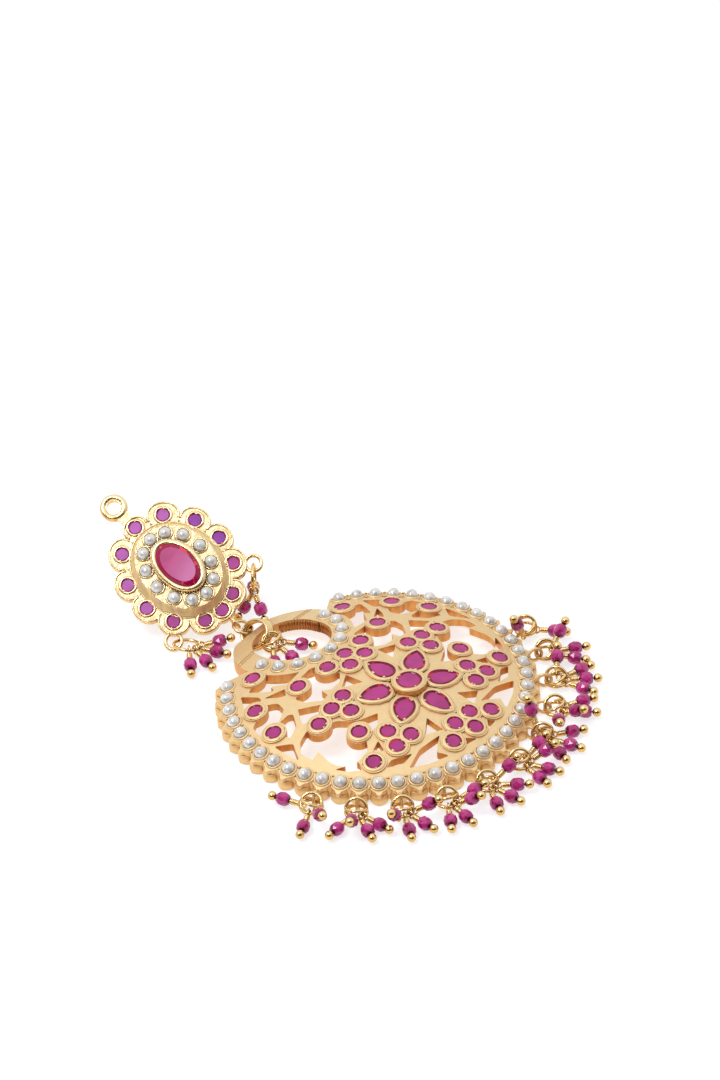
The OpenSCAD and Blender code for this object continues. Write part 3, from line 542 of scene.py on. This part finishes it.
def pearl_finish():
    """Seed pearl: grey-white nacre, mottled, under a clear gloss, with brown painted shade where other surfaces
    stand close.
    """
    f = Finish("nacre")
    cloud = f.noise(0.9, 4)
    base = f.mix(f.between(cloud, 0.45, 0.68), (0.72, 0.7, 0.67), (0.34, 0.32, 0.3))
    base = f.mix(f.between(f.cells(1.1), 0.1, 0.6) * 0.4, base, (0.97, 0.96, 0.94))
    # Painted shade: brown where other surfaces stand close, as where the pearl sinks into its seat
    base = f.mix(f.between(f.crevice(0.6), 0.1, 0.7), (0.33, 0.28, 0.22), base)
    return f.surface(Base_Color=base, Roughness=f.between(cloud, 0, 1) * 0.2 + 0.08, Coat_Weight=1.0,
                     Coat_Roughness=0.04, Specular_IOR_Level=0.8, Metallic=0.2,
                     Normal=f.bump(f.noise(1.4, 3), 0.03, 0.5))


def bead_finish():
    """Deep crimson glass with lighter patches, dark with painted shade at its ends and most round the bore."""
    f = Finish("crimson_glass")
    base = f.mix(f.between(f.noise(0.7, 2), 0.4, 0.6), (0.34, 0.005, 0.115), (0.53, 0.03, 0.25))
    # Painted shade at the ends and in the bore, from the mesh's edge attribute
    base = f.mix(f.rim(), base, (0.12, 0.001, 0.02))
    return f.surface(Base_Color=base, Roughness=0.06, IOR=1.5, Coat_Weight=0.4, Coat_Roughness=0.02)


# Each gold: the colour facing up, the painted wall shade and the painted shade in crevices; the plate's outer
# walls take a paler painted wall shade
plate_gold = gold("plate_gold", top=(0.88, 0.66, 0.36), wall=(0.86, 0.42, 0.12), crevice_shade=(0.3, 0.09, 0.013),
                  rough=0.42, metal=0.7, rim=(0.86, 0.56, 0.24))
stud_gold = gold("stud_gold", top=(1.0, 0.84, 0.5), wall=(0.88, 0.5, 0.15), crevice_shade=(0.24, 0.08, 0.012),
                 rough=0.13, dents=0.12, dent_size=1.6)
wire_gold = gold("wire_gold", top=(0.94, 0.72, 0.36), wall=(0.84, 0.5, 0.15), crevice_shade=(0.2, 0.06, 0.01),
                 rough=0.08, edge=0.03, painted_edge_highlight=0.3)
collar_gold = gold("collar_gold", top=(1.0, 0.84, 0.5), wall=(1.0, 0.76, 0.4), crevice_shade=(0.24, 0.08, 0.012),
                   rough=0.45, metal=0.6)
# A gold darkened all over as painted shade, for the hoop's ribs and the lines across its band
painted_hoop_shade = gold("painted_hoop_shade", top=(0.72, 0.4, 0.15), wall=(0.6, 0.2, 0.04), crevice_shade=(0.2, 0.05, 0.01), rough=0.3)
# A gold darkened all over as painted shade, for pits
painted_pit_shade = gold("painted_pit_shade", top=(0.3, 0.11, 0.02), wall=(0.3, 0.11, 0.02), crevice_shade=(0.15, 0.04, 0.01),
                rough=0.4, painted_edge_highlight=0.0)
# Each stone: its face colour, its painted edge shade and the colour of its painted glints
ruby = stone_finish("ruby_stone", face=(0.46, 0.035, 0.23), rim=(0.19, 0.0, 0.025), spark=(0.58, 0.03, 0.06))
lilac = stone_finish("lilac_stone", face=(0.57, 0.15, 0.57), rim=(0.2, 0.0, 0.08), spark=(0.6, 0.05, 0.2))
mauve = stone_finish("mauve_stone", face=(0.5, 0.075, 0.36), rim=(0.17, 0.0, 0.05), spark=(0.65, 0.05, 0.12))
violet = stone_finish("violet_stone", face=(0.36, 0.07, 0.5), rim=(0.2, 0.0, 0.06), spark=(0.5, 0.03, 0.2))
rose = stone_finish("rose_stone", face=(0.56, 0.09, 0.26), rim=(0.33, 0.0, 0.05), spark=(0.75, 0.06, 0.12),
                    rough=0.06, pale=((0.66, 0.2, 0.44), 33.0, 29.0))
nacre = pearl_finish()
crimson = bead_finish()

for name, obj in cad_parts.items():
    if "pearls" in name:
        finish = nacre
    elif "beads" in name:
        finish = crimson
    elif "stone" in name:
        finish = ruby
    elif name == "disc_plate":
        finish = plate_gold
    elif name == "stud_plate":
        finish = stud_gold
    else:
        finish = wire_gold
    obj.data.materials.clear()
    obj.data.materials.append(finish)

# Stones of the plate
for name, places in (("tip_stones", TIP_XY), ("vine_stones", VINE_XY)):
    piece = Piece(name + "_cut")
    for x, y in places:
        spin = turn("Z", dice.uniform(0, 360))
        flush_stone(piece, circle(STONE_D, 28), on_dome(x, y) @ spin, table=0.3, base=0.75, band=0.2, climb=0.14)
    piece.make(ruby, (name,), sharp=FACET_ANGLE)
piece = Piece("petal_stones_cut")
for i in range(1, 7):
    flush_stone(piece, pear(PETAL_W, PETAL_L, 56), petal_place(i), table=dice.uniform(0.18, 0.3), base=0.75,
                band=0.32, climb=0.22)
piece.make(ruby, ["petal_stone_%d" % i for i in range(1, 7)], sharp=FACET_ANGLE)
piece = Piece("flower_stone_cut")
flower_h = dome_z(FLOWER_Y) + FLOWER_RISE
flush_stone(piece, circle(FLOWER_D, 48), PLATE @ move(0, FLOWER_Y, flower_h), table=0.02, base=1.7,
            band=0.26, climb=0.15)
piece.make(ruby, ("flower_stone",), sharp=FACET_ANGLE)

# Rolled edges round the plate's stones, with grains of metal over them
piece = Piece("plate_lips")
for x, y in TIP_XY + VINE_XY:
    outline, place = circle(STONE_D, 40), on_dome(x, y)
    lip(piece, outline, place, COLLET_RISE, width=0.62, rise=0.14, bite=0.04, rag=0.1)
    bites(piece, outline, place, COLLET_RISE + 0.1, count=dice.randint(1, 3), radius=0.2)
for i in range(1, 7):
    outline, place = pear(PETAL_W, PETAL_L, 72), petal_place(i)
    lip(piece, outline, place, COLLET_RISE, width=0.66, rise=0.15, bite=0.05, rag=0.14)
    bites(piece, outline, place, COLLET_RISE + 0.1, count=4, radius=0.26)
outline, place = circle(FLOWER_D, 56), PLATE @ move(0, FLOWER_Y)
lip(piece, outline, place, flower_h, width=0.7, rise=0.16, bite=0.05, rag=0.12)
bites(piece, outline, place, flower_h + 0.1, count=4, radius=0.24)
piece.make(plate_gold)

# Rolled edges round the rim's and the hoop's pearls, with grains between them
piece = Piece("pearl_lips")
for x, y in RIM_XY + HOOP_XY:
    lip(piece, circle(PEARL_D, 32), on_dome(x, y), 0.0, width=0.42, rise=0.22, bite=-0.02, rag=0.04)
for i in RIM_STEPS[:-1]:
    for out in (-0.95, 0.85):
        size = dice.uniform(0.2, 0.32)
        blob(piece, (0, 0, 0.08), size, on_dome(*polar(RIM_R + out, 180 - PEARL_STEP * (i + 0.5))))
piece.make(plate_gold)

# Painted shade for pits: small dark blobs round the flower and beside the stones
piece = Piece("flower_pits")
for i in range(18):
    x, y = polar(FLOWER_D / 2 + dice.uniform(1.0, 1.35), 20 * i + dice.uniform(-6, 6), FLOWER_Y)
    blob(piece, (0, 0, 0.02), dice.uniform(0.14, 0.3), on_dome(x, y), 0.35, 7, 3)
for x, y in TIP_XY + VINE_XY:
    for _ in range(2):
        heading = turn("Z", dice.uniform(0, 360))
        at = Vector((x, y, 0)) + heading @ Vector((STONE_D / 2 + dice.uniform(0.3, 0.6), 0, 0))
        blob(piece, (0, 0, COLLET_RISE + 0.1), dice.uniform(0.08, 0.14), on_dome(at.x, at.y), 0.3, 6, 3)
piece.make(painted_pit_shade)

# Rounded lobes on the lower half of the rim's wall, one under each pearl
piece = Piece("rim_lobes")
for i in RIM_STEPS:
    place = PLATE @ move(*polar(RIM_R + 0.7, 180 - PEARL_STEP * i))
    layers(piece, [[(x, y, height - PLATE_H) for x, y in oval(radius, radius, 20)]
                   for radius, height in LOBE_ROWS], place)
piece.make(plate_gold, sharp=40)

# Stones of the stud
for name, finish, turns in (("stud_stones_lilac", lilac, (0, -34, 34, -67, -96)),
                            ("stud_stones_violet", violet, (67, 96)),
                            ("stud_stones_mauve", mauve, (125, 158, 180, -158, -125))):
    piece = Piece(name)
    for t in turns:
        flush_stone(piece, circle(STUD_STONE_D, 28), STUD @ move(*stud_petal_xy(t)) @ turn("Z", 9 * t),
                    table=0.04, base=0.7, band=0.15, climb=0.12)
    piece.make(finish, ("stud_stones",), sharp=FACET_ANGLE)
piece = Piece("oval_stone_cut")
raised_stone(piece, oval(OVAL_W / 2, OVAL_L / 2, 28), STUD @ move(0, OVAL_MID_Y, OVAL_RISE - 0.15),
             crown=0.7, base=1.3, table=0.8)
piece.make(rose, ("stud_oval_stone",), sharp=FACET_ANGLE)

# Rolled edges round the stud's stones and pearls
piece = Piece("stud_lips")
for t, share in STUD_PETALS:
    outline, place = circle(STUD_STONE_D, 36), STUD @ move(*stud_petal_xy(t))
    lip(piece, outline, place, 0.0, width=0.5, rise=0.2, bite=0.04, rag=0.08)
    bites(piece, outline, place, 0.14, count=2, radius=0.2)
for x, y in STUD_PEARL_XY:
    lip(piece, circle(PEARL_D, 32), STUD @ move(x, y), BOSS_RISE, width=0.4, rise=0.26, bite=-0.02, rag=0.05)
lip(piece, oval(OVAL_W / 2, OVAL_L / 2, 72), STUD @ move(0, OVAL_MID_Y), OVAL_RISE, width=0.75, rise=0.25,
    bite=0.18, rag=0.08)
piece.make(stud_gold)


# Relief of the stud: rims along the petals, a line at the boss's foot and one round its top
def inside(x, y, centre, half_w, half_l, spin):
    a = math.radians(spin)
    dx, dy = x - centre[0], y - centre[1]
    return (((dx * math.cos(a) + dy * math.sin(a)) / half_w) ** 2
            + ((dy * math.cos(a) - dx * math.sin(a)) / half_l) ** 2 < 1)


def stud_petal(t, share, inset):
    """A petal's middle, its half sizes less an inset, and its turn."""
    a = math.radians(t)
    spin = -math.degrees(math.atan2(STUD_L * math.sin(a), STUD_W * math.cos(a)))
    half_l = share * STUD_PETAL_L / 2
    return stud_petal_xy(t), STUD_PETAL_STRETCH * half_l - inset, half_l - inset, spin


def petal_rim(t, share):
    """The run of a petal's edge that lies clear of its neighbours and of the boss."""
    centre, half_w, half_l, spin = stud_petal(t, share, 0.22)
    place = turn("Z", spin)
    run = []
    for i in range(73):
        a = math.radians(5 * i - 90)
        p = place @ Vector((half_w * math.cos(a), half_l * math.sin(a), 0))
        x, y = p.x + centre[0], p.y + centre[1]
        free = not any(inside(x, y, *stud_petal(u, s, 0.1)) for u, s in STUD_PETALS if u != t)
        free = free and not inside(x, y, (0, STUD_MID_Y), PEARL_OVAL_W + WEB_PAST - 0.3,
                                   PEARL_OVAL_L + WEB_PAST - 0.3, 0)
        if free:
            run.append((x, y, 0.02))
        elif len(run) > 2:
            break
    return run


def pearl_oval(grow):
    """The oval through the stud's pearls, moved outwards."""
    return [(x, y + OVAL_MID_Y) for x, y in oval(PEARL_OVAL_W + grow, PEARL_OVAL_L + grow, 96)]


piece = Piece("stud_relief")
for t, share in STUD_PETALS:
    run = petal_rim(t, share)
    if len(run) > 3:
        tube(piece, run, 0.2, STUD)
for grow, thick, height in ((2.65, 0.15, 0.03), (1.5, 0.1, BOSS_RISE - 0.05)):
    tube(piece, [(x, y, height) for x, y in pearl_oval(grow)], thick, STUD, closed=True)
piece.make(stud_gold)
piece = Piece("stud_collar")
layers(piece, [[(x, y, height) for x, y in pearl_oval(grow)] for grow, height in COLLAR_ROWS], STUD, caps=False)
piece.make(collar_gold)
piece = Piece("collet_milling")
for x, y in grown(oval(OVAL_W / 2, OVAL_L / 2, 64), OVAL_WALL):
    tube(piece, [(x, y + OVAL_MID_Y, BOSS_RISE + 0.05), (x, y + OVAL_MID_Y, OVAL_RISE - 0.1)], 0.15, STUD, 6)
piece.make(stud_gold)


# Drops
def drop_places():
    """Each drop's name, the place of its ring, the ring's radius and its pins."""
    for n, (k, pins) in enumerate(FRINGE, 1):
        place = TABLE @ turn("Z", k * PEARL_STEP - 90) @ move(FRINGE_R, 0, LIE_H)
        yield "drop_%02d" % n, place, RING_R, pins
    yield "hoop_drop", TABLE @ move(*HOOP_RING_AT) @ turn("Z", -90), RING_R, HOOP_DROP
    yield ("left_drop", TABLE @ move(*LEFT_RING_AT) @ turn("Z", -90 + LEFT_TURN) @ turn("X", -LEFT_ROLL),
           SIDE_RING_R, LEFT_DROP)
    yield ("right_drop", TABLE @ move(*RIGHT_RING_AT) @ turn("Z", RIGHT_TURN) @ turn("X", 90),
           SIDE_RING_R, RIGHT_DROP)


def pin_place(ring, radius, pin):
    swing = pin[3] if len(pin) > 3 else 0
    return ring @ turn("Z", pin[0]) @ move(radius, 0, 0) @ turn("Z", swing) @ turn("Y", -pin[1])


def faceted_bead(piece, place):
    """A bored rondelle whose rows of facets are offset against each other."""
    def row(along, out, shift=0):
        return [(along * BEAD_L, out * math.cos(a), out * math.sin(a))
                for a in (2 * math.pi * (s + shift) / BEAD_SIDES for s in range(BEAD_SIDES))]

    points = []
    for along, out, shift in BEAD_ROWS:
        points += row(along, out * BEAD_D, shift)
    count = len(points)
    for along in (-0.5, 0.5):
        points += row(along, BEAD_BORE_R)
    last = count - BEAD_SIDES
    far = count + BEAD_SIDES
    faces = []
    for s in range(BEAD_SIDES):
        n = (s + 1) % BEAD_SIDES
        for k in range(len(BEAD_ROWS) - 1):
            here, there = k * BEAD_SIDES, (k + 1) * BEAD_SIDES
            a, b, c, d = here + s, here + n, there + s, there + n
            faces += [(a, b, c), (b, d, c)] if k % 2 == 0 else [(a, d, c), (a, b, d)]
        faces += [(s, count + s, count + n, n), (last + s, last + n, far + n, far + s),
                  (count + s, far + s, far + n, count + n)]
    # Painted shade: at both ends of the bead, and full in its bore
    shade = [0.7] * BEAD_SIDES + [0.0] * (3 * BEAD_SIDES) + [0.7] * BEAD_SIDES + [1.0] * (2 * BEAD_SIDES)
    piece.add(points, faces, place, shade)


# The way that the leaning rings face: up and to the plate's front left
LEANING_FACE = Vector((-0.6, -0.53, 0.6)).to_track_quat("Z", "Y").to_matrix().to_4x4()


def extra_rings(piece, ring, radius):
    """Two more rings in a drop: one raised from the far side of its ring, one that leans in it."""
    rising = ring @ move(-radius, 0, 0) @ turn("Y", dice.uniform(-34, -22)) @ turn("X", dice.uniform(-12, 12))
    wire_ring(piece, radius, RISING_WIRE, rising @ move(radius, 0, 0))
    middle = ring.translation
    leaning = (move(middle.x, middle.y, max(middle.z, LEANING_H)) @ LEANING_FACE
               @ turn("X", dice.uniform(-14, 14)) @ turn("Y", dice.uniform(-14, 14)))
    wire_ring(piece, LEANING_R, LEANING_WIRE, leaning)


def neck_coil(piece, place, length):
    """The wire that is wound round the neck of a head pin."""
    turns = COIL_TURNS * length / NECK
    steps = int(turns * 12)
    path = []
    for i in range(steps + 1):
        a = 2 * math.pi * turns * i / steps
        path.append((COIL_START + (length - 0.1) * i / steps, COIL_R * math.cos(a), COIL_R * math.sin(a)))
    tube(piece, path, COIL_WIRE, place, 6)


coils = Piece("neck_coils")
for name, ring, radius, pins in drop_places():
    if radius == RING_R:
        extra_rings(coils, ring, radius)
    beads = Piece(name + "_facets")
    for pin in pins:
        place = pin_place(ring, radius, pin)
        neck_coil(coils, place, NECK + pin[2])
        middle = place @ move(BEAD_START + pin[2] + BEAD_L / 2, 0, 0)
        faceted_bead(beads, middle @ turn("X", dice.uniform(0, 40)))
    beads.make(crimson, (name + "_beads",), smooth=False)
coils.make(wire_gold)

# Bail: strands of wire beside the bail ring
piece = Piece("bail_strands")
for across, lift, radius, thick in BAIL_STRANDS:
    place = TABLE @ move(*BAIL_AT) @ move(0, 0, lift) @ turn("Y", 90 + BAIL_SLANT) @ move(0, 0, across)
    wire_ring(piece, radius, thick, place, 72, 10)
piece.make(wire_gold)

# Hoop: ribs down its inner wall, and lines across the band where the bar begins, in gold darkened all over as
# painted shade
piece = Piece("hoop_ribs")
wall = [polar(OPENING_R, 180 + RIB_STEP * i, OPENING_Y) for i in range(-20, 21)]
for side in (-1, 1):
    wall += [(side * OPENING_R, OPENING_Y + OPENING_STRETCH * k / 4) for k in range(4)]
    wall += [polar(OPENING_R, side * (90 - RIB_STEP * k), OPENING_Y + OPENING_STRETCH) for k in range(13)]
for x, y in wall:
    top = dome_z(math.hypot(x, y))
    tube(piece, [(x, y, top - PLATE_T + 0.1), (x, y, top - 0.3)], 0.2, PLATE, 6)
for side in (-1, 1):
    for y in (HOOP_Y + 4.2, HOOP_Y + 4.75):
        inner = math.sqrt(max(OPENING_R ** 2 - (y - OPENING_Y - OPENING_STRETCH) ** 2, 0)) + 0.15
        outer = math.sqrt((HOOP_PEARL_R + HOOP_BAND / 2) ** 2 - (y - HOOP_Y) ** 2) - 0.1
        path = [(side * x, y, dome_z(math.hypot(x, y)) + 0.01)
                for x in (inner + (outer - inner) * i / 8 for i in range(9))]
        tube(piece, path, 0.09, PLATE, 6)
piece.make(painted_hoop_shade)

# Rolled edge of the support ring
piece = Piece("support_roll")
support_y = STUD_MID_Y + STUD_L + PETALS[0][1] * STUD_PETAL_L / 2 + SUPPORT_PAST
wire_ring(piece, SUPPORT_ROLL_R, SUPPORT_ROLL_WIRE, STUD @ move(0, support_y, -0.35), 48, 14)
piece.make(stud_gold)

# Nut: milled rims
piece = Piece("nut_milling")
for start in (CUP_BACK + NUT_GAP, CUP_BACK + NUT_GAP + NUT_L - NUT_RIM):
    for i in range(30):
        x, y = polar(NUT_D / 2 - 0.02, 12 * i)
        tube(piece, [(x, y, -start - 0.06), (x, y, -start - NUT_RIM + 0.06)], 0.13, STUD, 6)
piece.make(wire_gold)

# Floor, a little below the earring
FLOOR_HALF = 3
floor_mesh = bpy.data.meshes.new("floor")
floor_mesh.from_pydata([(x * FLOOR_HALF, y * FLOOR_HALF, 0) for x, y in ((-1, -1), (1, -1), (1, 1), (-1, 1))],
                       [], [(0, 1, 2, 3)])
floor = bpy.data.objects.new("floor", floor_mesh)
floor.location.z = -0.00005
bpy.context.collection.objects.link(floor)
paper = Finish("white_paper")
floor_mesh.materials.append(paper.surface(
    Base_Color=paper.mix(paper.noise(0.02, 2), (0.42, 0.445, 0.48), (0.4, 0.425, 0.46)), Roughness=0.6,
    Emission_Color=(1.0, 1.0, 1.0), Emission_Strength=0.68))

# Sky: paler towards the top, darker in the quarter that the camera looks from
SKY_STOPS = [(0.0, 0.45), (0.12, 0.6), (0.3, 0.88), (0.62, 0.92), (0.85, 0.97), (1.0, 1.12)]
world = bpy.data.worlds.new("studio")
world.use_nodes = True
sky = Nodes(world.node_tree)
heading = sky.node("ShaderNodeTexCoord", out="Generated")
glow = sky.node("ShaderNodeValToRGB", {"stops": [(place, (grey, grey * 0.99, grey * 0.98))
                                                 for place, grey in SKY_STOPS]}, {0: sky.part(heading, 2)})
veil = sky.node("ShaderNodeMapRange", {}, {"Value": sky.vector("DOT_PRODUCT", heading, (-0.75, -0.66, 0), out=1),
                                           "From Min": 0.25, "From Max": 0.65, "To Min": 1.0, "To Max": 0.12})
background = sky.node("ShaderNodeBackground", {}, {"Color": glow, "Strength": veil})
sky.node("ShaderNodeOutputWorld", {}, {"Surface": background})
bpy.context.scene.world = world


# Lamps, aimed at the earring's middle
def lamp(name, at, size, watts, mirrored=True):
    light = bpy.data.lights.new(name, "AREA")
    light.shape = "DISK"
    light.size = size
    light.energy = watts
    obj = bpy.data.objects.new(name, light)
    obj.location = at
    obj.rotation_euler = (-Vector(at)).to_track_quat("-Z", "Y").to_euler()
    obj.visible_glossy = mirrored
    bpy.context.collection.objects.link(obj)


lamp("key_light", (-0.25, 0.3, 0.85), size=0.6, watts=1.0, mirrored=False)
lamp("spark_light", (-0.3, 0.15, 0.75), size=0.24, watts=1.5)
lamp("glint_light", (-0.42, -0.1, 0.5), size=0.12, watts=0.4)

# Camera: its place from the plate's middle, and the directions of its picture
CAMERA_AT = Vector((-507.356, -444.181, 545.581)) + REST + Vector((0, 0, PLATE_H))
CAMERA_RIGHT = Vector((0.629906, -0.775023, -0.050581))
CAMERA_UP = Vector((0.496063, 0.351359, 0.79402))
CAMERA_BACK = Vector((-0.597612, -0.525249, 0.605783))
camera_data = bpy.data.cameras.new("camera")
camera_data.sensor_fit = "VERTICAL"
camera_data.sensor_height = 36
camera_data.lens = 166.67
camera_data.clip_start = 0.05
camera = bpy.data.objects.new("camera", camera_data)
camera.matrix_world = (Matrix.Translation(CAMERA_AT * MM)
                       @ Matrix((CAMERA_RIGHT, CAMERA_UP, CAMERA_BACK)).transposed().to_4x4())
bpy.context.collection.objects.link(camera)
bpy.context.scene.camera = camera
bpy.context.scene.view_settings.view_transform = "Standard"
